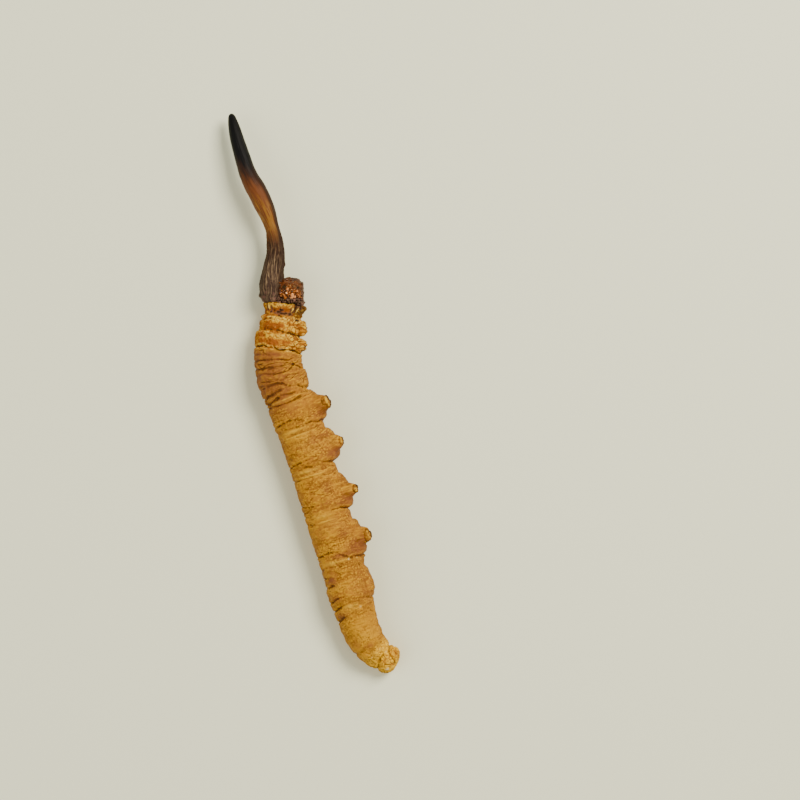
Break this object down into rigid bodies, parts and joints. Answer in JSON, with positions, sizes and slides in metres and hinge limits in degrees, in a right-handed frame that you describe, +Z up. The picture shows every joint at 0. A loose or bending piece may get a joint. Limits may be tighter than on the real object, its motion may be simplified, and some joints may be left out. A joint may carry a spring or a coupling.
{
  "type": "dried cordyceps",
  "caption": "Dried cordyceps lying on its side: the ringed ochre body of a moth larva with stubby legs, and a slender dark stalk that curves out of its head.",
  "frame": {"origin": "middle of the bounding box's base, on the surface that the specimen lies on", "axes": "+Y towards the stalk's tip along the specimen, +X the side that the legs point to, +Z up from the surface"},
  "size_m": [0.0214, 0.07, 0.0059],
  "materials": {
    "dried_skin": "dull to satin ochre yellow-brown, finely wrinkled and pitted; redder behind the chest, pale crust on the chest rings",
    "head_horn": "glassy red-brown horn, broken into amber facets, with a dark crusted rim",
    "dried_fungus": "satin; grey-brown and ridged at the foot, orange-brown at mid length, black towards the tip"
  },
  "bodies": {
    "root": {"larva_body": "dried_skin", "head_capsule": "head_horn", "stroma": "dried_fungus"}
  },
  "joints": []
}
